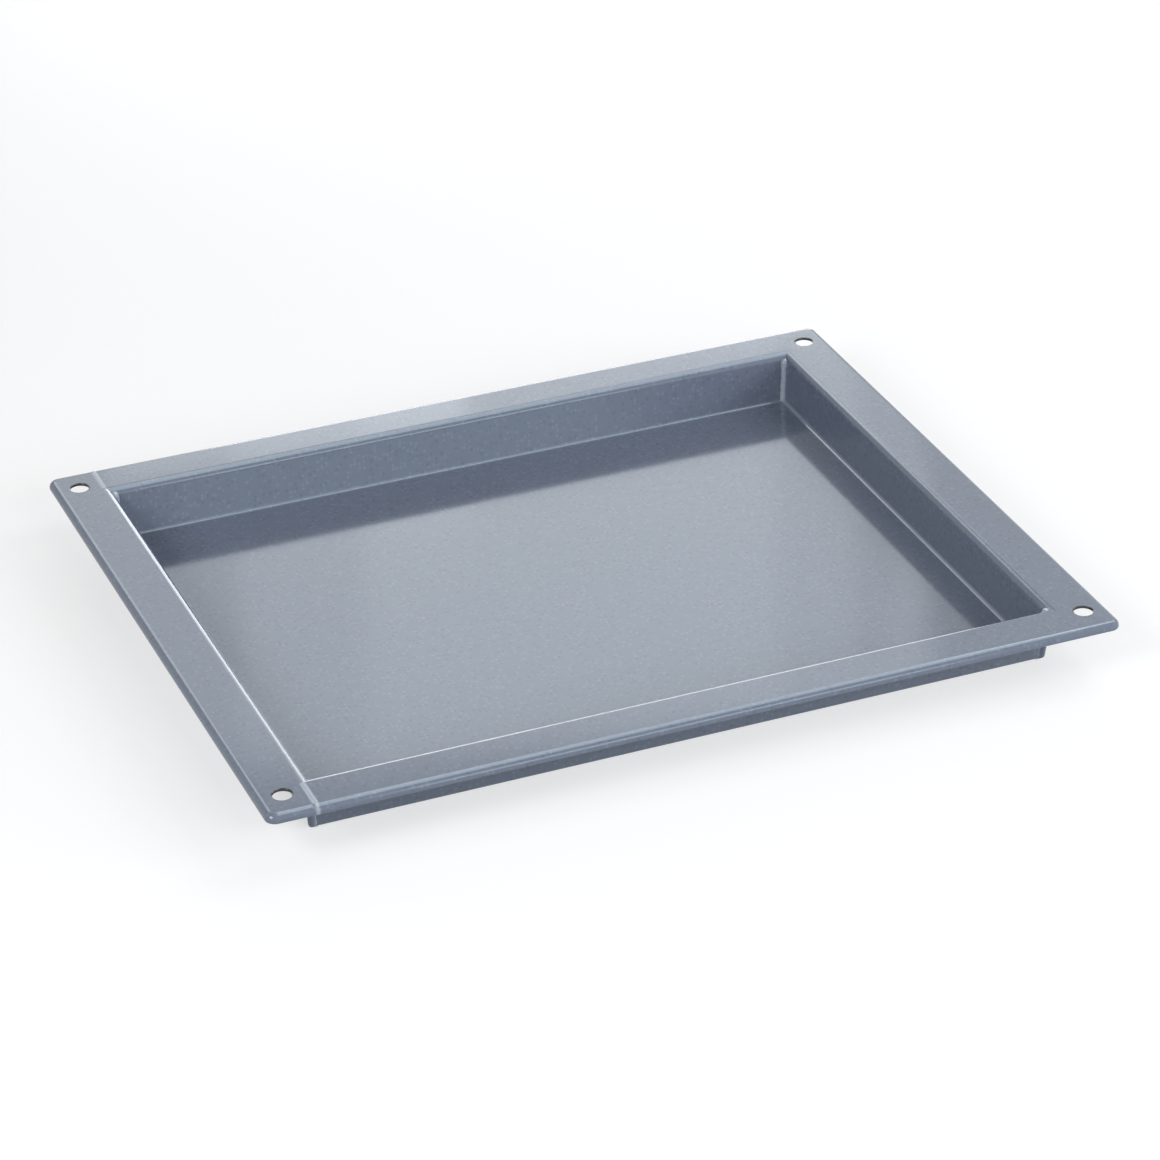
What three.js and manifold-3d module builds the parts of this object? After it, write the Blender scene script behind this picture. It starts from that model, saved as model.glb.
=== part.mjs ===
// Shallow gastronorm tray of half size, in enamelled sheet steel.
// A folded body holds the floor, the side walls and the side flanges with all four rim corners.
// A folded panel closes the front and the back, and welds join the panels to the body.
// Millimetres, +Z up, +X along the long side, the front towards -Y.
// The origin is the middle of the floor's underside.

import * as THREE from 'three';
import { mergeVertices } from 'three/addons/utils/BufferGeometryUtils.js';
import Module from 'manifold-3d';

const wasm = await Module();
wasm.setup();

// Driving dimensions of the sheet metal
const trayLength = 325; // over the lips, along X
const trayWidth = 265; // over the lips, along Y
const panDepth = 20; // top of the rim down to the floor
const sheet = 1.2; // steel with its enamel on both faces
const sideFlange = 18; // lip face to the start of the inner bend, left and right
const endFlange = 16.5; // lip face to the start of the inner bend, front and back
const lipHeight = 3.4; // top of the rim to the lower edge of the lip
const cornerRadius = 4; // outer corners of the rim, in plan
const wallLean = 5; // degrees from upright
const lipBend = 1.4; // radius inside the bend from flange to lip
const rimBend = 2; // radius inside the bend from flange to wall
const floorBend = 1.2; // radius inside the bend from side wall to floor

// Driving dimensions of the hanging holes
const holeDiameter = 7;
const holeToSide = 9.5; // hole centre to the lip face, along X
const holeToEnd = 12.5; // hole centre to the lip face, along Y

// Driving dimensions of the welds
const seamWidth = 2.6; // welds across the rim, ground flush
const cornerBead = 1.2; // radius of the beads in the four upright corners
const floorFillet = 1.2; // hollow radius of the welds along the floor
const weldGap = 0.3; // clearance wherever a piece follows a neighbour's sloping face

// Fineness of the facets
const bendFacets = 6; // to each bend
const cornerFacets = 6; // half the facets to each rounded rim corner
const holeFacets = 32;
const beadSides = 16;
const beadSteps = 24;

// Enamel colours, the welds a little paler where the enamel is thin over them
const enamelColour = 0x6b7280;
const weldColour = 0x7b828f;
const enamelRoughness = 0.2;

// Levels and lines that the pieces share
const height = panDepth + sheet;
const openingX = trayLength / 2 - sideFlange; // where the side flanges start to bend down
const openingY = trayWidth / 2 - endFlange; // where the end flanges start to bend down
const seamInner = openingX - seamWidth / 2;
const seamOuter = openingX + seamWidth / 2;
const reach = trayLength + trayWidth; // farther than any piece goes

// The wall's slope: the bend at its top, its flat stretch, and where it would meet the floor
const wallTurn = THREE.MathUtils.degToRad(90 - wallLean);
const rimRadius = rimBend + sheet;
const bendDrop = (radius) => radius * (1 - Math.cos(wallTurn));
const bendRun = (radius) => radius * Math.sin(wallTurn);
const wallFlat = (panDepth - bendDrop(rimRadius) - bendDrop(floorBend)) / Math.sin(wallTurn);
const wallRun = bendRun(rimRadius) + wallFlat * Math.cos(wallTurn) + bendRun(floorBend);
const footRun = bendRun(rimRadius) + (panDepth - bendDrop(rimRadius)) / Math.tan(wallTurn);

// Folding steps, as flats and bends that a sheet runs through
const rimStep = { turn: -wallTurn, inside: rimBend };
const wallStep = { flat: wallFlat };
const floorStep = { turn: wallTurn, inside: floorBend };
const floorFlat = { flat: 2 * (openingX - wallRun) };
const flangeStub = { flat: seamWidth };
const endWall = { flat: height / Math.sin(wallTurn) };
const troughSteps = [rimStep, wallStep, floorStep, floorFlat, floorStep, wallStep, rimStep];
const panelSteps = [rimStep, endWall];

// Walks along the upper face of a folded sheet and returns points at a distance above that face:
// zero gives the face itself, and minus the sheet's thickness gives the underside.
function foldPath(start, steps, distance) {
  const place = start.clone();
  const points = [];
  let heading = 0;
  const upward = () => new THREE.Vector2(-Math.sin(heading), Math.cos(heading));
  const addPoint = () => points.push(place.clone().addScaledVector(upward(), distance));
  addPoint();
  for (const step of steps) {
    if (step.flat) {
      place.x += step.flat * Math.cos(heading);
      place.y += step.flat * Math.sin(heading);
      addPoint();
      continue;
    }
    const radius = step.turn > 0 ? step.inside : -(step.inside + sheet);
    const centre = place.clone().addScaledVector(upward(), radius);
    for (let facet = 0; facet < bendFacets; facet += 1) {
      heading += step.turn / bendFacets;
      place.copy(centre).addScaledVector(upward(), -radius);
      addPoint();
    }
  }
  return points;
}

// Closed outline of a folded sheet, along its upper face and back along its underside
function sheetOutline(start, steps) {
  return [...foldPath(start, steps, 0), ...foldPath(start, steps, -sheet).reverse()];
}

// Closed solid of a three.js geometry, ready for cutting and joining
function solidOf(geometry) {
  const bare = geometry.clone();
  bare.deleteAttribute('normal');
  bare.deleteAttribute('uv');
  const merged = mergeVertices(bare);
  return new wasm.Manifold(new wasm.Mesh({
    numProp: 3,
    vertProperties: merged.attributes.position.array,
    triVerts: Uint32Array.from(merged.index.array),
  }));
}

function meshOf(name, solid, colour) {
  const { vertProperties, triVerts } = solid.getMesh();
  const geometry = new THREE.BufferGeometry();
  geometry.setAttribute('position', new THREE.BufferAttribute(vertProperties, 3));
  geometry.setIndex(new THREE.BufferAttribute(triVerts, 1));
  geometry.computeVertexNormals();
  const material = new THREE.MeshStandardMaterial({
    color: colour,
    roughness: enamelRoughness,
    metalness: 0,
    flatShading: true,
  });
  const mesh = new THREE.Mesh(geometry, material);
  mesh.name = name;
  return mesh;
}

function block([x0, x1], [y0, y1], [z0, z1]) {
  const geometry = new THREE.BoxGeometry(x1 - x0, y1 - y0, z1 - z0);
  geometry.translate((x0 + x1) / 2, (y0 + y1) / 2, (z0 + z1) / 2);
  return solidOf(geometry);
}

// Prisms of a section that is drawn with Z upwards, centred on the tray
function prism(shape, length, across, along) {
  const geometry = new THREE.ExtrudeGeometry(shape, {
    depth: length,
    bevelEnabled: false,
    curveSegments: bendFacets,
  });
  geometry.translate(0, 0, -length / 2);
  geometry.applyMatrix4(new THREE.Matrix4().makeBasis(across, new THREE.Vector3(0, 0, 1), along));
  return solidOf(geometry);
}

function prismAlongX(shape, length) {
  return prism(shape, length, new THREE.Vector3(0, 1, 0), new THREE.Vector3(1, 0, 0));
}

function prismAlongY(shape, length) {
  return prism(shape, length, new THREE.Vector3(1, 0, 0), new THREE.Vector3(0, -1, 0));
}

// Block with the rim's rounded plan, set in from the lip face, with its upper edge rounded over
function rimBlock(setIn, edgeRadius, top) {
  const halfX = trayLength / 2 - setIn;
  const halfY = trayWidth / 2 - setIn;
  const radius = cornerRadius - setIn;
  const plan = new THREE.Shape();
  plan.absarc(halfX - radius, halfY - radius, radius, 0, Math.PI / 2);
  plan.absarc(radius - halfX, halfY - radius, radius, Math.PI / 2, Math.PI);
  plan.absarc(radius - halfX, radius - halfY, radius, Math.PI, 1.5 * Math.PI);
  plan.absarc(halfX - radius, radius - halfY, radius, 1.5 * Math.PI, 2 * Math.PI);
  const geometry = new THREE.ExtrudeGeometry(plan, {
    depth: lipHeight,
    bevelThickness: edgeRadius,
    bevelSize: edgeRadius,
    bevelOffset: -edgeRadius,
    bevelSegments: bendFacets,
    curveSegments: cornerFacets,
  });
  geometry.translate(0, 0, top - edgeRadius - lipHeight);
  return solidOf(geometry);
}

// Plate with the lip turned down all round, from which every flange and rim weld is cut
function makeRim() {
  const outside = rimBlock(0, lipBend + sheet, height);
  const inside = rimBlock(sheet, lipBend, height - sheet);
  const aboveLipEdge = block([-reach, reach], [-reach, reach], [height - lipHeight, reach]);
  return outside.subtract(inside).intersect(aboveLipEdge);
}

// Space between the side walls, a weld gap clear of the body's upper face
function makeSideSpace() {
  const outline = foldPath(new THREE.Vector2(-openingX, height), troughSteps, weldGap);
  return prismAlongY(new THREE.Shape(outline), trayWidth);
}

// Space between the front and back walls, at a distance above the panels' upper face
function makeEndSpace(distance) {
  const front = foldPath(new THREE.Vector2(-openingY, height), panelSteps, distance);
  front.unshift(new THREE.Vector2(-openingY, height + weldGap));
  const back = front.map((point) => new THREE.Vector2(-point.x, point.y)).reverse();
  return prismAlongX(new THREE.Shape([...front, ...back]), trayLength);
}

const rim = makeRim();
const sideSpace = makeSideSpace();
const endSpace = makeEndSpace(weldGap);

// Body: a trough that runs from front to back, and the side flanges with the rim's four corners
function makeBody() {
  const start = new THREE.Vector2(-openingX - seamWidth, height);
  const outline = sheetOutline(start, [flangeStub, ...troughSteps, flangeStub]);
  const trough = prismAlongY(new THREE.Shape(outline), trayWidth).intersect(makeEndSpace(-sheet));
  const flanges = rim.subtract(block([-seamOuter, seamOuter], [-reach, reach], [-reach, reach]));
  let body = flanges.add(trough);
  for (const side of [-1, 1]) {
    for (const end of [-1, 1]) {
      const hole = new THREE.CylinderGeometry(holeDiameter / 2, holeDiameter / 2, reach, holeFacets);
      hole.rotateX(Math.PI / 2);
      hole.translate(side * (trayLength / 2 - holeToSide), end * (trayWidth / 2 - holeToEnd), 0);
      body = body.subtract(solidOf(hole));
    }
  }
  return meshOf('pan_body', body, enamelColour);
}

// Front panel: a flange between the body's rim corners, and a wall that stands inside the trough
function makePanel(name) {
  const flange = rim.intersect(block([-seamInner, seamInner], [-reach, -openingY], [-reach, reach]));
  const start = new THREE.Vector2(-openingY - seamWidth, height);
  const outline = sheetOutline(start, [flangeStub, ...panelSteps]);
  const wall = prismAlongX(new THREE.Shape(outline), trayLength).intersect(sideSpace);
  return meshOf(name, flange.add(wall), enamelColour);
}

// Weld along the foot of the front panel, with a hollow face that continues the walls into the floor
function makeFloorWeld(name) {
  const foot = footRun - openingY;
  const top = sheet + floorFillet;
  const section = new THREE.Shape();
  section.moveTo(foot - floorFillet, 0);
  section.lineTo(foot + floorFillet, 0);
  section.absarc(foot + floorFillet, top, floorFillet, -Math.PI / 2, -Math.PI, true);
  section.lineTo(foot - floorFillet, top);
  const weld = prismAlongX(section, trayLength).intersect(sideSpace).intersect(endSpace);
  return meshOf(name, weld, weldColour);
}

// Bead up one front corner of the pan, from the floor weld to the rim
function makeCornerWeld(name, side) {
  const drop = foldPath(new THREE.Vector2(0, height), [rimStep, wallStep], 0);
  const route = drop.map(({ x, y }) => new THREE.Vector3(side * (openingX - x), x - openingY, y));
  const section = new THREE.Shape().absarc(0, 0, cornerBead, 0, 2 * Math.PI);
  const geometry = new THREE.ExtrudeGeometry(section, {
    steps: beadSteps,
    curveSegments: beadSides / 2,
    extrudePath: new THREE.CatmullRomCurve3(route),
  });
  const stretch = block([-reach, reach], [-reach, reach], [sheet + floorFillet + weldGap, height]);
  const bead = solidOf(geometry).intersect(sideSpace).intersect(endSpace).intersect(stretch);
  return meshOf(name, bead, weldColour);
}

// Weld across the front rim, between the panel's flange and a corner of the body
function makeRimWeld(name, side) {
  const edges = [side * seamInner, side * seamOuter].sort((a, b) => a - b);
  const weld = rim.intersect(block(edges, [-reach, -openingY], [-reach, reach]));
  return meshOf(name, weld, weldColour);
}

// Everything at one end, built at the front: the panel and the five welds that hold it
function makeEnd(end, sides) {
  const group = new THREE.Group();
  group.add(makePanel(`${end}_panel`), makeFloorWeld(`floor_weld_${end}`));
  for (const [label, side] of sides) {
    group.add(makeCornerWeld(`corner_weld_${end}_${label}`, side));
    group.add(makeRimWeld(`rim_weld_${end}_${label}`, side));
  }
  return group;
}

const front = makeEnd('front', [['left', -1], ['right', 1]]);
const back = makeEnd('back', [['right', -1], ['left', 1]]);
back.rotation.z = Math.PI;

const tray = new THREE.Group();
tray.add(makeBody(), front, back);

export default tray;
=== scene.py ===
# Studio picture of a shallow enamelled gastronorm tray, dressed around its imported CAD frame.
# Metres, +Z up, +X along the long side, the front towards -Y, as in the frame.

import math

import bmesh
import bpy
from mathutils import Matrix, Vector
from mathutils.geometry import delaunay_2d_cdt


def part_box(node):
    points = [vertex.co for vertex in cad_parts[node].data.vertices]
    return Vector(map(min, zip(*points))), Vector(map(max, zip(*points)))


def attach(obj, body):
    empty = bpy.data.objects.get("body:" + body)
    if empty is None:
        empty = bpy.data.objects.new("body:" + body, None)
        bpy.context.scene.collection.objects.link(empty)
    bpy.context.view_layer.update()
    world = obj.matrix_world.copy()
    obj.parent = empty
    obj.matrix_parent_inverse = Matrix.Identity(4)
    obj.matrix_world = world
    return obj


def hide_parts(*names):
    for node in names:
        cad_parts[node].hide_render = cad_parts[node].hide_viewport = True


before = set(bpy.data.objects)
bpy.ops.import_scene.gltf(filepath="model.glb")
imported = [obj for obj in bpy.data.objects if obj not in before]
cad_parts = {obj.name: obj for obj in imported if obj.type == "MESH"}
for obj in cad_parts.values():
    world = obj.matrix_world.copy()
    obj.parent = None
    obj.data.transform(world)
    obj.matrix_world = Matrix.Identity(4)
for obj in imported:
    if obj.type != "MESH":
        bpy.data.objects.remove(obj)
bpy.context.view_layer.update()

# Sizes read from the frame
body_low, body_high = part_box("pan_body")
seam_low, seam_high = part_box("rim_weld_front_right")
HALF_LENGTH = body_high.x  # middle to the lip's face, along X
HALF_WIDTH = body_high.y  # middle to the lip's face, along Y
RIM_TOP = body_high.z
LIP_LOW = seam_low.z  # lower edge of the lip
SEAM_INNER = seam_low.x  # the welds across the rim lie between these two
SEAM_OUTER = seam_high.x
OPENING_X = (SEAM_INNER + SEAM_OUTER) / 2  # where the side flanges start to bend down
OPENING_Y = -seam_high.y  # where the end flanges start to bend down

# Sheet metal, as the solids have it
SHEET = 0.0012  # steel with its enamel on both faces
LIP_BEND = 0.0014  # radii inside the bends
RIM_BEND = 0.002
FLOOR_BEND = 0.0012
WALL_LEAN = math.radians(5)
CORNER_RADIUS = 0.004  # outer corners of the rim, in plan
HOLE_RADIUS = 0.0035
HOLE_TO_SIDE = 0.0095  # hole centre to the lip's face, along X
HOLE_TO_END = 0.0125  # and along Y

# Roundings that the enamel gives the sheet's edges
HOLE_EDGE = 0.00045
TROUGH_EDGE = 0.0009

# Welds
BEAD_RADIUS = 0.0015  # upright beads in the pan's corners
BEAD_RIPPLE = 0.00005
BEAD_RIPPLES = 6  # along one bead
OUTER_BEAD_RADIUS = 0.0013  # beads along the outside of the same corners
OUTER_BEAD_INSET = SHEET / 4  # their middle lines inside the sheet's outer faces
BLOB_RADIUS = 0.0018  # where a bead ends
BEAD_STOP = {  # how far under the rim's top the middle of each bead's end lies
    "front_left": 0.0034,
    "front_right": 0.0018,
    "back_left": 0.0026,
    "back_right": 0.0038,
}
SEAM_CROWN = {  # height of each weld across the rim over the flange, at the lip and at the opening
    "front_left": (0.00012, 0.00016),
    "back_left": (0.00014, 0.0),
    "front_right": (0.0, 0.0),
    "back_right": (0.0, 0.0),
}
EMBED = 0.0002  # how far a piece is let into its neighbour, out of sight
SET_IN = 0.00003  # the panels' outer faces behind the body's cut edges

# Fineness of the meshes
BEND_FACETS = 14
CORNER_FACETS = 20
HOLE_FACETS = 56
EDGE_FACETS = 5
LONG_FACETS = 12  # along a straight side
TUBE_SIDES = 20
TUBE_STEPS = 64
SEAM_COLUMNS = 10

QUARTER = math.pi / 2
WALL_TURN = QUARTER - WALL_LEAN
RIM_OUTER = RIM_BEND + SHEET  # radius of the rim bend's upper face
LIP_OUTER = LIP_BEND + SHEET
PAN_DEPTH = RIM_TOP - SHEET
WALL_FLAT = (
    PAN_DEPTH - (RIM_OUTER + FLOOR_BEND) * (1 - math.cos(WALL_TURN))
) / math.sin(WALL_TURN)


# Folded profiles

def direction(angle):
    return Vector((math.cos(angle), math.sin(angle)))


def face_line(start, heading, steps, depth=0.0):
    """Points (inset, height) along a folded sheet, this deep under its upper face.

    The upper face lies on the left of the way taken. A step is a flat length or a pair of
    (turn, radius inside the bend), and a turn to the left is positive.
    """
    point = Vector(start)
    line = [point + depth * direction(heading - QUARTER)]
    for step in steps:
        if isinstance(step, float):
            point = point + step * direction(heading)
            line.append(point + depth * direction(heading - QUARTER))
            continue
        turn, inside = step
        side = math.copysign(QUARTER, turn)
        upper = inside if turn > 0 else inside + SHEET
        radius = upper + depth if turn > 0 else upper - depth
        centre = point + upper * direction(heading + side)
        for facet in range(1, BEND_FACETS + 1):
            now = heading + turn * facet / BEND_FACETS
            line.append(centre + radius * direction(now - side))
        heading += turn
        point = centre + upper * direction(heading - side)
    return line


def lip_edge(depth):
    """The rounded lower edge of the lip, from its lowest point to the lip's outer or inner face."""
    radius = SHEET / 2
    turn = QUARTER if depth > 0 else -QUARTER
    points = []
    for facet in range(EDGE_FACETS):
        angle = -QUARTER + turn * facet / EDGE_FACETS
        points.append(Vector((radius, LIP_LOW + radius)) + radius * direction(angle))
    return points


def lip_line(depth, *further):
    """The lip and its bend into the flange, inset from the lip's face, and what follows."""
    upright = RIM_TOP - LIP_LOW - SHEET / 2 - LIP_OUTER
    steps = [upright, (-QUARTER, LIP_BEND), *further]
    return lip_edge(depth) + face_line((0, LIP_LOW + SHEET / 2), QUARTER, steps, depth)


def wall_line(depth):
    """Rim bend, wall and floor bend, inset from the edge of the opening."""
    steps = [(-WALL_TURN, RIM_BEND), WALL_FLAT, (WALL_TURN, FLOOR_BEND)]
    return face_line((0, RIM_TOP), 0.0, steps, depth)


def wall_inset(height, depth):
    """How far a wall's face stands in from the edge of the opening at a height, foot bend left out."""
    radius = RIM_OUTER - depth
    centre = RIM_TOP - RIM_OUTER
    bend_end = centre + radius * math.cos(WALL_TURN)
    if height >= centre + radius:
        return 0.0
    if height >= bend_end:
        return math.sqrt(radius ** 2 - (height - centre) ** 2)
    return radius * math.sin(WALL_TURN) + (bend_end - height) * math.tan(WALL_LEAN)


# Mesh patches

def add_grid(mesh, rows):
    """Faces between neighbouring rows of points."""
    made = [[mesh.verts.new(p) for p in row] for row in rows]
    for row, after in zip(made, made[1:]):
        for a, b, c, d in zip(row, row[1:], after[1:], after):
            mesh.faces.new((a, b, c, d))


def add_slab(mesh, upper, lower):
    """A closed piece between two grids of points of the same size."""
    add_grid(mesh, upper)
    add_grid(mesh, lower)
    for edge in (0, -1):
        add_grid(mesh, [upper[edge], lower[edge]])
        add_grid(mesh, [[row[edge] for row in upper], [row[edge] for row in lower]])


def add_ring_rows(mesh, rows):
    """Faces between neighbouring closed rings of points."""
    add_grid(mesh, [row + row[:1] for row in rows])


def spread(low, high, count):
    return [low + (high - low) * step / count for step in range(count + 1)]


def finish_mesh(mesh, name, material):
    """Welds the patches of a mesh and makes it a piece that stands for the CAD node of this name."""
    weld_distance = 1e-6
    sharp = math.radians(40)
    bmesh.ops.remove_doubles(mesh, verts=mesh.verts, dist=weld_distance)
    bmesh.ops.dissolve_degenerate(mesh, edges=mesh.edges, dist=weld_distance)
    bmesh.ops.recalc_face_normals(mesh, faces=mesh.faces)
    data = bpy.data.meshes.new(name)
    mesh.to_mesh(data)
    mesh.free()
    data.shade_smooth()
    data.set_sharp_from_angle(angle=sharp)
    data.materials.append(material)
    piece = bpy.data.objects.new(name + "_enamel", data)
    bpy.context.scene.collection.objects.link(piece)
    normals = piece.modifiers.new("flat faces stay flat", "WEIGHTED_NORMAL")
    normals.keep_sharp = True
    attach(piece, "root")
    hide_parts(name)


# Pan body

def rim_stations():
    """Points on the right lip's face and inward directions, from the front seam round to the back seam."""
    along_x = spread(SEAM_OUTER, HALF_LENGTH - CORNER_RADIUS, 2)
    along_y = spread(CORNER_RADIUS - HALF_WIDTH, HALF_WIDTH - CORNER_RADIUS, LONG_FACETS)
    front = [(Vector((x, -HALF_WIDTH)), Vector((0, 1))) for x in along_x[:-1]]
    side = [(Vector((HALF_LENGTH, y)), Vector((-1, 0))) for y in along_y[1:-1]]
    corner = []
    centre = Vector((HALF_LENGTH - CORNER_RADIUS, CORNER_RADIUS - HALF_WIDTH))
    for angle in spread(-QUARTER, 0.0, CORNER_FACETS):
        outward = direction(angle)
        corner.append((centre + CORNER_RADIUS * outward, -outward))
    flip = Vector((1, -1))
    back = [(point * flip, inward * flip) for point, inward in reversed(front + corner)]
    return front + corner + side + back


def hole_ring(centre, radius, height):
    turns = [2 * math.pi * facet / HOLE_FACETS for facet in range(HOLE_FACETS)]
    return [(centre + radius * direction(turn)).to_3d() + Vector((0, 0, height)) for turn in turns]


def hole_rows(centre):
    """Rings down through a hanging hole, with both of its edges rounded."""
    rows = []
    turns = spread(0.0, QUARTER, EDGE_FACETS)
    for face, into, angles in ((RIM_TOP, -1, turns), (RIM_TOP - SHEET, 1, reversed(turns))):
        for angle in angles:
            radius = HOLE_RADIUS + HOLE_EDGE * (1 - math.sin(angle))
            rows.append(hole_ring(centre, radius, face + into * HOLE_EDGE * (1 - math.cos(angle))))
    return rows


def add_plate(mesh, outline, holes, height):
    """A flat patch inside an outline, open at the holes. All loops run counterclockwise."""
    points = []
    loops = []
    for loop in [outline] + holes:
        loops.append(range(len(points), len(points) + len(loop)))
        points += [p.to_2d() for p in loop]
    inside_only = 1
    smallest = 1e-7
    found, _, faces, _, _, sources = delaunay_2d_cdt(points, [], loops, inside_only, smallest)
    made = [mesh.verts.new((p.x, p.y, height)) for p in found]
    for face, source in zip(faces, sources):
        if list(source) == [0]:
            mesh.faces.new([made[k] for k in face])


def at_height(plan, height):
    return [p.to_3d() + Vector((0, 0, height)) for p in plan]


def add_right_rim(mesh):
    """The right flange with its lip, both rim corners and their holes."""
    stations = rim_stations()
    grids = []
    for depth in (0.0, SHEET):
        rows = []
        for inset, height in lip_line(depth):
            rows.append(at_height([point + inset * inward for point, inward in stations], height))
        grids.append(rows)
    upper, lower = grids
    add_grid(mesh, upper)
    add_grid(mesh, lower)
    for end in (0, -1):
        add_grid(mesh, [[row[end] for row in upper], [row[end] for row in lower]])

    flange = [p.to_2d() for p in upper[-1]]
    opening = [Vector((OPENING_X, y)) for y in reversed(trough_lines(OPENING_Y))]
    back_step = Vector((SEAM_OUTER, OPENING_Y))
    front_step = Vector((SEAM_OUTER, -OPENING_Y))
    holes = []
    for end in (1, -1):
        rows = hole_rows(Vector((HALF_LENGTH - HOLE_TO_SIDE, end * (HALF_WIDTH - HOLE_TO_END))))
        add_ring_rows(mesh, rows)
        holes.append(rows[0])
    faces = (RIM_TOP, RIM_TOP - SHEET)
    for height in faces:
        add_plate(mesh, flange + [back_step] + opening + [front_step], holes, height)
    for cut in ([flange[-1], back_step, opening[0]], [flange[0], front_step, opening[-1]]):
        add_grid(mesh, [at_height(cut, height) for height in faces])


def add_mirrored(mesh):
    """Doubles what is in the mesh so far on the left."""
    parts = mesh.verts[:] + mesh.edges[:] + mesh.faces[:]
    copy = bmesh.ops.duplicate(mesh, geom=parts)
    points = [part for part in copy["geom"] if isinstance(part, bmesh.types.BMVert)]
    bmesh.ops.scale(mesh, vec=(-1, 1, 1), verts=points)


def trough_lines(half_width):
    return spread(-half_width, half_width, LONG_FACETS)


def trough_profile(depth):
    """Points (x, height) across the pan, from the left opening edge to the right one."""
    half = [Vector((inset - OPENING_X, height)) for inset, height in wall_line(depth)]
    mirrored = [Vector((-p.x, p.y)) for p in reversed(half)]
    foot = half[-1]
    floor = [Vector((x, foot.y)) for x in spread(foot.x, -foot.x, LONG_FACETS)[1:-1]]
    return half + floor + mirrored


def trough_end(height):
    """Half the trough's length at a height: its cut edge is in line with the panel's outer face."""
    return OPENING_Y - wall_inset(height, SHEET)


def add_trough(mesh):
    """Side walls and floor in one fold, cut to the lean of the end panels, with rounded outer edges."""
    upper = trough_profile(0.0)
    lower = trough_profile(SHEET)
    last = len(upper) - 1
    upper_rows = []
    lower_rows = []
    front_rows = []
    for k, (top, bottom) in enumerate(zip(upper, lower)):
        from_rim = min(k, last - k)
        edge = TROUGH_EDGE * min(1.0, from_rim / BEND_FACETS)
        top_lines = trough_lines(trough_end(top.y))
        bottom_lines = trough_lines(trough_end(bottom.y) - edge)
        upper_rows.append([Vector((top.x, y, top.y)) for y in top_lines])
        lower_rows.append([Vector((bottom.x, y, bottom.y)) for y in bottom_lines])
        cut = [Vector((top.x, -trough_end(top.y), top.y))]
        for angle in spread(0.0, QUARTER, EDGE_FACETS):
            share = 1 - edge * (1 - math.sin(angle)) / SHEET
            x, height = top.lerp(bottom, share)
            cut.append(Vector((x, edge * (1 - math.cos(angle)) - trough_end(height), height)))
        front_rows.append(cut)
    add_grid(mesh, upper_rows)
    add_grid(mesh, lower_rows)
    add_grid(mesh, front_rows)
    add_grid(mesh, [[p * Vector((1, -1, 1)) for p in cut] for cut in front_rows])


def make_body(material):
    mesh = bmesh.new()
    add_right_rim(mesh)
    add_mirrored(mesh)
    add_trough(mesh)
    finish_mesh(mesh, "pan_body", material)


# End panels

def make_panel(end, material):
    """Front or back wall with its flange and lip, standing in the trough. End is -1 at the front."""
    flange = HALF_WIDTH - LIP_OUTER - OPENING_Y
    wall = WALL_FLAT + FLOOR_BEND * math.tan(WALL_TURN / 2) + EMBED
    grids = []
    for depth in (0.0, SHEET - SET_IN):
        rows = []
        for inset, height in lip_line(depth, flange, (-WALL_TURN, RIM_BEND), wall):
            half = SEAM_INNER
            if inset > HALF_WIDTH - OPENING_Y + EMBED:
                half = OPENING_X - wall_inset(height, 0.0) + EMBED
            y = end * (HALF_WIDTH - inset)
            rows.append([Vector((x, y, height)) for x in spread(-half, half, LONG_FACETS)])
        grids.append(rows)
    mesh = bmesh.new()
    add_slab(mesh, *grids)
    name = "front_panel" if end < 0 else "back_panel"
    finish_mesh(mesh, name, material)


# Welds

def make_floor_weld(end, material):
    """Hollow fillet along the foot of an end panel, from side wall to side wall."""
    fillet = wall_line(0.0)[-BEND_FACETS - 1:]
    corner_inset = wall_inset(SHEET, 0.0) - EMBED
    half = OPENING_X - wall_inset(SHEET, 0.0) + EMBED
    columns = spread(-half, half, LONG_FACETS)

    def row(inset, height):
        return [Vector((x, end * (OPENING_Y - inset), height)) for x in columns]

    upper = [row(inset, height) for inset, height in fillet]
    lower = [row(corner_inset, SHEET - EMBED) for _ in fillet]
    mesh = bmesh.new()
    add_slab(mesh, upper, lower)
    name = "floor_weld_front" if end < 0 else "floor_weld_back"
    finish_mesh(mesh, name, material)


def corner_name(side, end):
    return ("front" if end < 0 else "back") + ("_left" if side < 0 else "_right")


def bead_path(side, end):
    """Middle line and radii of an upright bead, up the corner to where it stops in a blob."""
    low = BEAD_RADIUS + EMBED
    high = RIM_TOP - BEAD_STOP[corner_name(side, end)]
    middle = []
    radii = []
    for share in spread(0.0, 1.0, TUBE_STEPS):
        height = low + (high - low) * share
        inset = wall_inset(height, 0.0)
        near_stop = max(0.0, 1 - (high - height) / (2 * BLOB_RADIUS))
        swell = near_stop * near_stop * (3 - 2 * near_stop)
        ripple = BEAD_RIPPLE * math.sin(2 * math.pi * BEAD_RIPPLES * share) * (1 - swell)
        radii.append(BEAD_RADIUS + ripple + (BLOB_RADIUS - BEAD_RADIUS) * swell)
        middle.append(Vector((side * (OPENING_X - inset), end * (OPENING_Y - inset), height)))
    return middle, radii


def outer_bead_path(side, end):
    """Middle line and radii of the bead along the outside of the same corner.

    It runs from the flange down the corner and thins out round the fold at its foot.
    """
    high = RIM_TOP - SHEET + EMBED - OUTER_BEAD_RADIUS
    middle = []
    radii = []
    for inset, height in wall_line(SHEET - OUTER_BEAD_INSET):
        if height > high:
            continue
        inset_y = wall_inset(height, SHEET) + OUTER_BEAD_INSET
        middle.append(Vector((side * (OPENING_X - inset), end * (OPENING_Y - inset_y), height)))
        radii.append(min(OUTER_BEAD_RADIUS, height))
    return middle, radii


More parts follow.
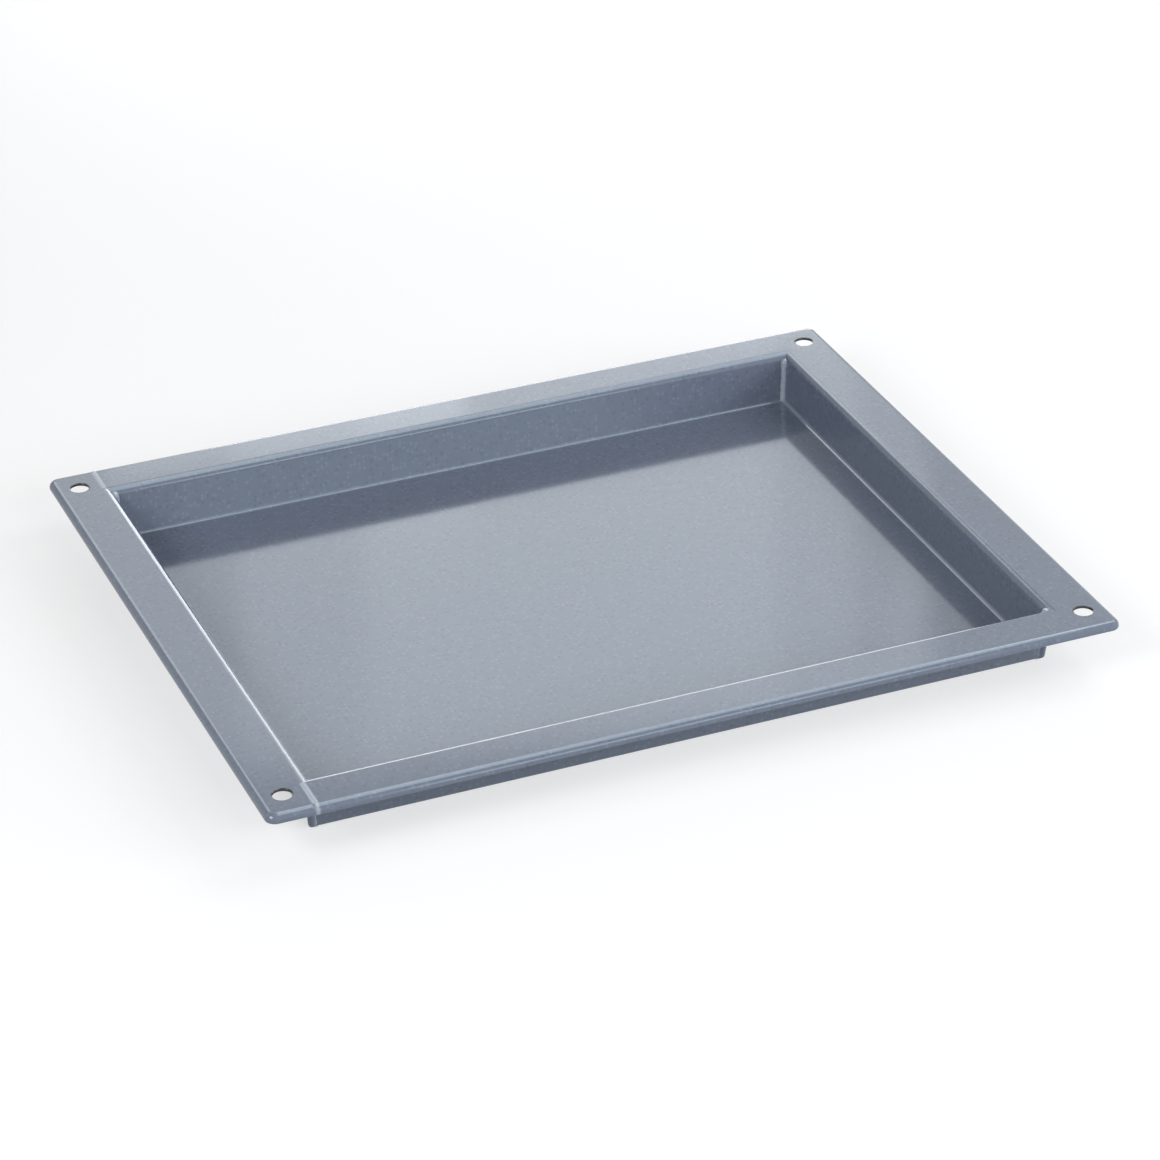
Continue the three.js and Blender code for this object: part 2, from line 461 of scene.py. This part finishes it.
def add_tube(mesh, middle, radii):
    """A closed tube of changing radius with rounded ends."""
    rows = []
    across = Vector((1, 0, 0))
    count = len(middle)
    for k, (point, radius) in enumerate(zip(middle, radii)):
        ahead = (middle[min(k + 1, count - 1)] - middle[max(k - 1, 0)]).normalized()
        across = (across - across.dot(ahead) * ahead).normalized()
        other = ahead.cross(across)

        def ring(at, size):
            turns = [2 * math.pi * s / TUBE_SIDES for s in range(TUBE_SIDES)]
            return [at + size * (math.cos(t) * across + math.sin(t) * other) for t in turns]

        caps = spread(0.0, QUARTER, EDGE_FACETS)
        if k == 0:
            for angle in caps[:-1]:
                rows.append(ring(point - radius * math.cos(angle) * ahead, radius * math.sin(angle)))
        rows.append(ring(point, radius))
        if k == count - 1:
            for angle in reversed(caps[:-1]):
                rows.append(ring(point + radius * math.cos(angle) * ahead, radius * math.sin(angle)))
    add_ring_rows(mesh, rows)


def make_corner_weld(side, end, material):
    mesh = bmesh.new()
    add_tube(mesh, *bead_path(side, end))
    add_tube(mesh, *outer_bead_path(side, end))
    name = "corner_weld_" + corner_name(side, end)
    finish_mesh(mesh, name, material)


def make_rim_weld(side, end, material):
    """Weld across the flange and down the lip between a panel and the body, crowned a little."""
    at_lip, at_opening = SEAM_CROWN[corner_name(side, end)]
    flange = HALF_WIDTH - LIP_OUTER - OPENING_Y
    upper_line = lip_line(0.0, flange)
    lower_line = lip_line(SHEET, flange)
    columns = spread(-1.0, 1.0, SEAM_COLUMNS)
    half = (SEAM_OUTER - SEAM_INNER) / 2
    upper = []
    lower = []
    for top, bottom in zip(upper_line, lower_line):
        out = (top - bottom).normalized()
        crown = at_lip + (at_opening - at_lip) * top.x / (LIP_OUTER + flange)
        raised = [top + crown * (1 - c * c) ** 2 * out for c in columns]
        xs = [side * (OPENING_X + half * c) for c in columns]
        upper.append([Vector((x, end * (HALF_WIDTH - p.x), p.y)) for x, p in zip(xs, raised)])
        lower.append([Vector((x, end * (HALF_WIDTH - bottom.x), bottom.y)) for x in xs])
    mesh = bmesh.new()
    add_slab(mesh, upper, lower)
    name = "rim_weld_" + corner_name(side, end)
    finish_mesh(mesh, name, material)


# Enamel

def srgb(red, green, blue):
    """Linear colour of an eight-bit screen colour."""
    def linear(value):
        share = value / 255
        return share / 12.92 if share <= 0.04045 else ((share + 0.055) / 1.055) ** 2.4
    return (linear(red), linear(green), linear(blue), 1.0)


def node(tree, kind, inputs=None, **settings):
    made = tree.nodes.new(kind)
    for key, value in settings.items():
        setattr(made, key, value)
    for key, value in (inputs or {}).items():
        if isinstance(value, bpy.types.NodeSocket):
            tree.links.new(value, made.inputs[key])
        else:
            made.inputs[key].default_value = value
    return made


def speckle(tree, place, pitch, radius, share):
    """A mask of soft round specks, in this share of the cells of a random pattern."""
    cells = node(tree, "ShaderNodeTexVoronoi", {"Vector": place, "Scale": 1 / pitch})
    spot = node(tree, "ShaderNodeMapRange", {
        "Value": cells.outputs["Distance"],
        "From Min": radius,
        "From Max": 0.0,
    }, interpolation_type="SMOOTHSTEP")
    chosen = node(tree, "ShaderNodeSeparateColor", {"Color": cells.outputs["Color"]})
    kept = node(tree, "ShaderNodeMath", {0: chosen.outputs["Red"], 1: share}, operation="LESS_THAN")
    factors = {0: spot.outputs["Result"], 1: kept.outputs[0]}
    mask = node(tree, "ShaderNodeMath", factors, operation="MULTIPLY")
    return mask.outputs[0]


def tint(tree, base, colour, mask):
    mixed = node(tree, "ShaderNodeMix", {"Factor": mask}, data_type="RGBA")
    for name, value in (("A", base), ("B", colour)):
        socket = next(s for s in mixed.inputs if s.name == name and s.type == "RGBA")
        if isinstance(value, bpy.types.NodeSocket):
            tree.links.new(value, socket)
        else:
            socket.default_value = value
    return next(s for s in mixed.outputs if s.type == "RGBA")


def seam_mask(tree, place):
    """1 along the middle of the welds across the rim, fading to 0 at their edges."""
    half = (SEAM_OUTER - SEAM_INNER) / 2
    along = node(tree, "ShaderNodeSeparateXYZ", {"Vector": place})
    from_middle = node(tree, "ShaderNodeMath", {0: along.outputs["X"]}, operation="ABSOLUTE")
    terms = {0: from_middle.outputs[0], 1: OPENING_X}
    from_seam = node(tree, "ShaderNodeMath", terms, operation="SUBTRACT")
    away = node(tree, "ShaderNodeMath", {0: from_seam.outputs[0]}, operation="ABSOLUTE")
    mask = node(tree, "ShaderNodeMapRange", {
        "Value": away.outputs[0],
        "From Min": half,
        "From Max": 0.0,
    }, interpolation_type="SMOOTHSTEP")
    return mask.outputs["Result"]


def near_mask(tree, place, axes, line, full, none):
    """1 within one distance of a line and of its mirror images, fading to 0 at a larger one.

    Axes holds a 0 for the line's own direction and 1 for the other two.
    """
    flat = node(tree, "ShaderNodeVectorMath", {0: place, 1: axes}, operation="MULTIPLY")
    folded = node(tree, "ShaderNodeVectorMath", {0: flat.outputs["Vector"]}, operation="ABSOLUTE")
    ends = {0: folded.outputs["Vector"], 1: line}
    away = node(tree, "ShaderNodeVectorMath", ends, operation="DISTANCE")
    mask = node(tree, "ShaderNodeMapRange", {
        "Value": away.outputs["Value"],
        "From Min": none,
        "From Max": full,
    }, interpolation_type="SMOOTHSTEP")
    return mask.outputs["Result"]


def hole_mask(tree, place):
    """1 on the walls of the hanging holes, fading to 0 a little outside their rounded edges."""
    centre = (HALF_LENGTH - HOLE_TO_SIDE, HALF_WIDTH - HOLE_TO_END, 0.0)
    full = HOLE_RADIUS + 0.5 * HOLE_EDGE
    none = HOLE_RADIUS + 1.5 * HOLE_EDGE
    return near_mask(tree, place, (1.0, 1.0, 0.0), centre, full, none)


def fold_highlight_mask(tree, place):
    """1 in the folds between the side walls and the floor, fading to 0 beside them. This is where a
    painted highlight is laid into the colour.
    """
    corner = (OPENING_X - wall_inset(SHEET, 0.0), 0.0, SHEET)
    full = 0.5 * FLOOR_BEND
    none = 1.3 * FLOOR_BEND
    return near_mask(tree, place, (1.0, 0.0, 1.0), corner, full, none)


def outside_mask(tree, place):
    """0 along the inside of the pan's upright corners, 1 along their outside."""
    slope = (1.0, 1.0, -2 * math.tan(WALL_LEAN))  # level along both lines
    folded = node(tree, "ShaderNodeVectorMath", {0: place}, operation="ABSOLUTE")
    factors = {0: folded.outputs["Vector"], 1: slope}
    along = node(tree, "ShaderNodeVectorMath", factors, operation="DOT_PRODUCT")
    mask = node(tree, "ShaderNodeMapRange", {
        "Value": along.outputs["Value"],
        "From Min": OPENING_X + OPENING_Y - 2 * wall_inset(0.0, 0.0),
        "From Max": OPENING_X + OPENING_Y - 2 * wall_inset(0.0, SHEET),
    })
    return mask.outputs["Result"]


def enamel(name, low, high, pale, dark, marks=()):
    """Glossy speckled enamel: two close ground colours that drift, with pale and dark specks.

    Marks are pairs of a mask and the colour laid on there; some of them are painted light.
    """
    drift_size = 0.005  # of the ground colour
    peel_size = 0.0022  # of the fine orange peel
    wave_size = 0.05  # of the sheet's slow waves
    peel_height = 0.00002
    wave_height = 0.0001
    pale_specks = {"pitch": 0.0017, "radius": 0.60, "share": 0.40}  # radius in parts of the pitch
    dark_specks = {"pitch": 0.0021, "radius": 0.55, "share": 0.40}
    least_rough = 0.085
    most_rough = 0.12
    glass_index = 1.53
    glint = (0.76, 0.93, 1.0, 1.0)  # cool tint of the reflections
    material = bpy.data.materials.new(name)
    material.use_nodes = True
    tree = material.node_tree
    tree.nodes.clear()
    place = node(tree, "ShaderNodeTexCoord").outputs["Object"]
    drift = node(tree, "ShaderNodeTexNoise", {"Vector": place, "Scale": 1 / drift_size, "Detail": 4.0})
    colour = tint(tree, low, high, drift.outputs["Fac"])
    colour = tint(tree, colour, pale, speckle(tree, place, **pale_specks))
    colour = tint(tree, colour, dark, speckle(tree, place, **dark_specks))
    for mask, mark in marks:
        colour = tint(tree, colour, mark, mask(tree, place))
    gloss = node(tree, "ShaderNodeMapRange", {
        "Value": drift.outputs["Fac"], "To Min": least_rough, "To Max": most_rough})
    wave = node(tree, "ShaderNodeTexNoise", {"Vector": place, "Scale": 1 / wave_size, "Detail": 1.0})
    waviness = node(tree, "ShaderNodeBump", {
        "Height": wave.outputs["Fac"], "Strength": 0.5, "Distance": wave_height})
    peel = node(tree, "ShaderNodeTexNoise", {"Vector": place, "Scale": 1 / peel_size, "Detail": 2.0})
    bumps = node(tree, "ShaderNodeBump", {
        "Height": peel.outputs["Fac"],
        "Strength": 0.2,
        "Distance": peel_height,
        "Normal": waviness.outputs["Normal"],
    })
    surface = node(tree, "ShaderNodeBsdfPrincipled", {
        "Base Color": colour,
        "Roughness": gloss.outputs["Result"],
        "IOR": glass_index,
        "Specular Tint": glint,
        "Normal": bumps.outputs["Normal"],
    })
    node(tree, "ShaderNodeOutputMaterial", {"Surface": surface.outputs["BSDF"]})
    return material


# Studio

def background_rays(tree):
    """1 for rays from the camera and for mirrored and refracted ones, 0 for the rest."""
    path = node(tree, "ShaderNodeLightPath")
    mirrored = node(tree, "ShaderNodeMath", {
        0: path.outputs["Is Camera Ray"], 1: path.outputs["Is Glossy Ray"]}, operation="ADD")
    every = node(tree, "ShaderNodeMath", {
        0: mirrored.outputs[0], 1: path.outputs["Is Transmission Ray"]}, operation="ADD", use_clamp=True)
    return every.outputs[0]


def make_world(ambient):
    """A white surround, dimmer for diffuse light."""
    world = bpy.data.worlds.new("studio")
    world.use_nodes = True
    tree = world.node_tree
    tree.nodes.clear()
    level = node(tree, "ShaderNodeMapRange", {
        "Value": background_rays(tree), "To Min": ambient, "To Max": 1.0})
    white = (1.0, 1.0, 1.0, 1.0)
    surround = node(tree, "ShaderNodeBackground", {"Color": white, "Strength": level.outputs["Result"]})
    node(tree, "ShaderNodeOutputWorld", {"Surface": surround.outputs["Background"]})
    bpy.context.scene.world = world


def make_floor(size, lift, drop):
    """A pale table top, a hair under the tray. Lift whitens it in the picture and in mirrored rays."""
    material = bpy.data.materials.new("pale_floor")
    material.use_nodes = True
    tree = material.node_tree
    tree.nodes.clear()
    paper = node(tree, "ShaderNodeBsdfDiffuse", {"Color": srgb(172, 173, 175)})
    strength = node(tree, "ShaderNodeMath", {0: background_rays(tree), 1: lift}, operation="MULTIPLY")
    glow = node(tree, "ShaderNodeEmission", {"Strength": strength.outputs[0]})
    both = node(tree, "ShaderNodeAddShader", {0: paper.outputs["BSDF"], 1: glow.outputs["Emission"]})
    node(tree, "ShaderNodeOutputMaterial", {"Surface": both.outputs["Shader"]})
    data = bpy.data.meshes.new("floor")
    corners = [(x * size / 2, y * size / 2, -drop) for x, y in ((-1, -1), (1, -1), (1, 1), (-1, 1))]
    data.from_pydata(corners, [], [(0, 1, 2, 3)])
    data.materials.append(material)
    floor = bpy.data.objects.new("floor", data)
    bpy.context.scene.collection.objects.link(floor)


def make_softbox(name, place, size, radiance, target=(0, 0, 0), diffuse=True, glossy=True):
    """A rectangular lamp of an even radiance, aimed at a point, for one or both kinds of reflection."""
    data = bpy.data.lights.new(name, "AREA")
    data.shape = "RECTANGLE"
    data.size, data.size_y = size
    data.energy = radiance * math.pi * size[0] * size[1]
    lamp = bpy.data.objects.new(name, data)
    lamp.location = place
    lamp.rotation_euler = (Vector(target) - Vector(place)).to_track_quat("-Z", "Y").to_euler()
    lamp.visible_camera = False
    lamp.visible_diffuse = diffuse
    lamp.visible_glossy = glossy
    bpy.context.scene.collection.objects.link(lamp)


def make_camera(target, azimuth, elevation, roll, distance, focal):
    """A camera that looks at a point from a compass angle and a height, turned about its own axis."""
    back = Vector((
        math.sin(azimuth) * math.cos(elevation),
        -math.cos(azimuth) * math.cos(elevation),
        math.sin(elevation),
    ))
    right = Vector((0, 0, 1)).cross(back).normalized()
    up = back.cross(right)
    turned_right = math.cos(roll) * right + math.sin(roll) * up
    turned_up = back.cross(turned_right)
    place = target + distance * back
    data = bpy.data.cameras.new("camera")
    data.lens = focal  # millimetres, on a sensor of Blender's usual width
    data.clip_end = 10 * distance
    camera = bpy.data.objects.new("camera", data)
    turn = Matrix((turned_right, turned_up, back)).transposed().to_4x4()
    camera.matrix_world = Matrix.Translation(place) @ turn
    bpy.context.scene.collection.objects.link(camera)
    bpy.context.scene.camera = camera


# The tray

SHEET_COLOURS = (srgb(100, 108, 125), srgb(107, 115, 131), srgb(116, 124, 140), srgb(94, 102, 118))
# Painted light: the beads inside the corners are painted paler than the sheet in place of the light they
# catch. The outside beads keep the sheet's colour.
BEAD_PAINTED_LIGHT_COLOURS = (srgb(146, 153, 166), srgb(160, 167, 179), srgb(173, 180, 191), srgb(132, 139, 152))
SEAM_COLOUR = srgb(150, 158, 170)
BORE_COLOUR = srgb(46, 42, 44)  # dark, on the walls of the hanging holes
# Painted highlight: a paler colour along the folds at the floor stands in for the light line that these
# bends mirror.
FOLD_PAINTED_HIGHLIGHT = srgb(126, 133, 148)
BODY_ENAMEL = enamel(
    "body_enamel", *SHEET_COLOURS, marks=((hole_mask, BORE_COLOUR), (fold_highlight_mask, FOLD_PAINTED_HIGHLIGHT)))
SHEET_ENAMEL = enamel("sheet_enamel", *SHEET_COLOURS)
BEAD_PAINTED_LIGHT_ENAMEL = enamel("bead_enamel_painted_light", *BEAD_PAINTED_LIGHT_COLOURS, marks=((outside_mask, SHEET_COLOURS[0]),))
SEAM_ENAMEL = enamel("seam_enamel", *SHEET_COLOURS, marks=((seam_mask, SEAM_COLOUR),))

make_body(BODY_ENAMEL)
for end in (-1, 1):
    make_panel(end, SHEET_ENAMEL)
    make_floor_weld(end, SHEET_ENAMEL)
    make_rim_weld(-1, end, SEAM_ENAMEL)
    make_rim_weld(1, end, SHEET_ENAMEL)
    for side in (-1, 1):
        make_corner_weld(side, end, BEAD_PAINTED_LIGHT_ENAMEL)

# The picture

make_camera(
    target=Vector((-0.0048, -0.0248, RIM_TOP)),
    azimuth=math.radians(-21.74),
    elevation=math.radians(29.51),
    roll=math.radians(-1.15),
    distance=1.5975,
    focal=134.8,
)
make_floor(size=8.0, lift=0.58, drop=0.0002)
make_world(ambient=0.15)
# Boxes behind the tray, which its flat faces mirror
make_softbox("back_softbox", place=(0.235, 0.75, 0.425), size=(0.53, 0.29), radiance=1.08)
make_softbox("back_softbox_low", place=(0.12, 0.73, 0.268), size=(0.20, 0.17), radiance=1.15)
make_softbox("back_softbox_wide", place=(0.28, 0.74, 0.43), size=(0.36, 0.29), radiance=0.50)
make_softbox("back_softbox_middle", place=(0.29, 0.73, 0.42), size=(0.24, 0.26), radiance=0.38)
make_softbox("right_back_softbox", place=(0.61, 0.51, 0.44), size=(0.42, 0.30), radiance=0.45)
# Boxes that the bends and the back wall mirror
make_softbox("low_back_softbox", place=(0.30, 0.82, 0.17), size=(0.42, 0.33), radiance=3.8)
make_softbox("low_front_softbox", place=(0.35, -1.08, 0.37), size=(0.34, 0.26), radiance=4.6)
make_softbox("right_softbox", place=(0.63, 0.11, 0.63), size=(0.42, 0.42), radiance=3.6)
make_softbox(
    "overhead_reflector", place=(0.33, 0.16, 0.92), size=(0.55, 1.2), radiance=4.0, target=(0.33, 0, 0),
    diffuse=False)
make_softbox(
    "left_reflector", place=(-0.16, 2.07, 1.40), size=(0.83, 0.70), radiance=2.5, diffuse=False)
# Lamps for the walls
make_softbox("left_key", place=(-0.90, -0.38, 0.70), size=(0.55, 0.50), radiance=8.6)
make_softbox(
    "front_right_fill", place=(0.96, -0.78, 0.43), size=(0.50, 0.50), radiance=10.0, glossy=False)
make_softbox("front_fill", place=(0.05, -1.25, 0.62), size=(0.50, 0.50), radiance=6.2, glossy=False)
bpy.context.scene.view_settings.view_transform = "Standard"
